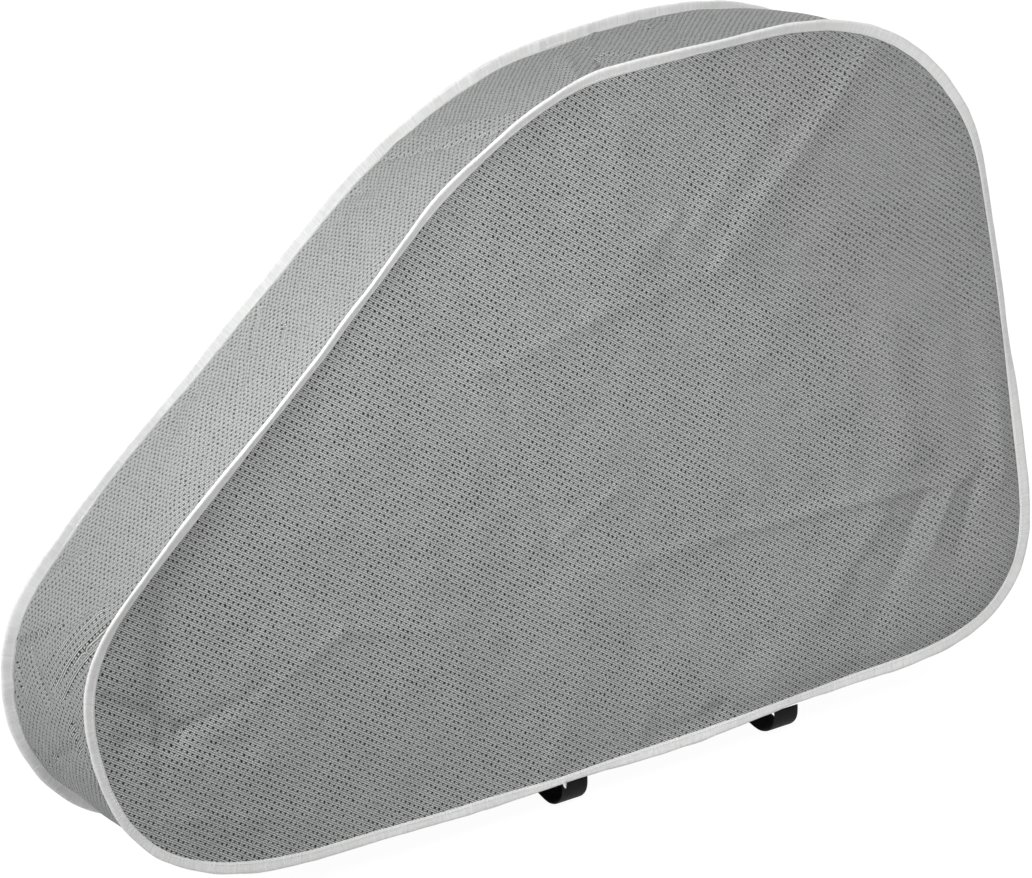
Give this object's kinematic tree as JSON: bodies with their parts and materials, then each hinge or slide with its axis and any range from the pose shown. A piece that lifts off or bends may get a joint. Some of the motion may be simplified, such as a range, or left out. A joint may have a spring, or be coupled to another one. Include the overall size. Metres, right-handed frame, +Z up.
{
  "type": "caravan hitch cover",
  "caption": "Open-bottomed fabric cover with a low nose and a tall back, bound edges, and straps that close under the mouth.",
  "frame": {"origin": "middle of the open mouth, level with the bottom hem", "axes": "+X from the low nose to the tall back, +Y from the front side panel to the rear one, +Z up"},
  "size_m": [0.924, 0.1536, 0.616],
  "materials": {
    "grey_cloth": "matt embossed nonwoven",
    "white_tape": "matt folded binding tape",
    "black_webbing": "woven webbing",
    "black_hook": "hook tape",
    "black_loop": "loop tape"
  },
  "bodies": {
    "cover": {"front_panel": "grey_cloth", "rear_panel": "grey_cloth", "gusset": "grey_cloth", "front_binding": "white_tape", "rear_binding": "white_tape", "nose_hem_tape": "white_tape", "back_hem_tape": "white_tape", "nose_side_strap_sewn_end": "black_webbing", "nose_side_tab_sewn_end": "black_webbing", "back_side_strap_sewn_end": "black_webbing", "back_side_tab_sewn_end": "black_webbing"},
    "nose_side_strap": {"nose_side_strap": "black_webbing", "nose_side_hook_patch": "black_hook"},
    "nose_side_tab": {"nose_side_tab": "black_webbing", "nose_side_loop_patch": "black_loop"},
    "back_side_strap": {"back_side_strap": "black_webbing", "back_side_hook_patch": "black_hook"},
    "back_side_tab": {"back_side_tab": "black_webbing", "back_side_loop_patch": "black_loop"}
  },
  "joints": [
    {"name": "nose_side_strap_open", "type": "hinge", "parent": "cover", "child": "nose_side_strap", "pos_m": [-0.033, -0.07215, -0.0012], "axis": [-1, 0, 0], "range_deg": [0, 90]},
    {"name": "nose_side_tab_fold", "type": "hinge", "parent": "cover", "child": "nose_side_tab", "pos_m": [-0.033, 0.07215, -0.0012], "axis": [-1, 0, 0], "range_deg": [0, 60]},
    {"name": "back_side_strap_open", "type": "hinge", "parent": "cover", "child": "back_side_strap", "pos_m": [0.184, -0.07215, -0.0012], "axis": [-1, 0, 0], "range_deg": [0, 90]},
    {"name": "back_side_tab_fold", "type": "hinge", "parent": "cover", "child": "back_side_tab", "pos_m": [0.184, 0.07215, -0.0012], "axis": [-1, 0, 0], "range_deg": [0, 60]}
  ]
}
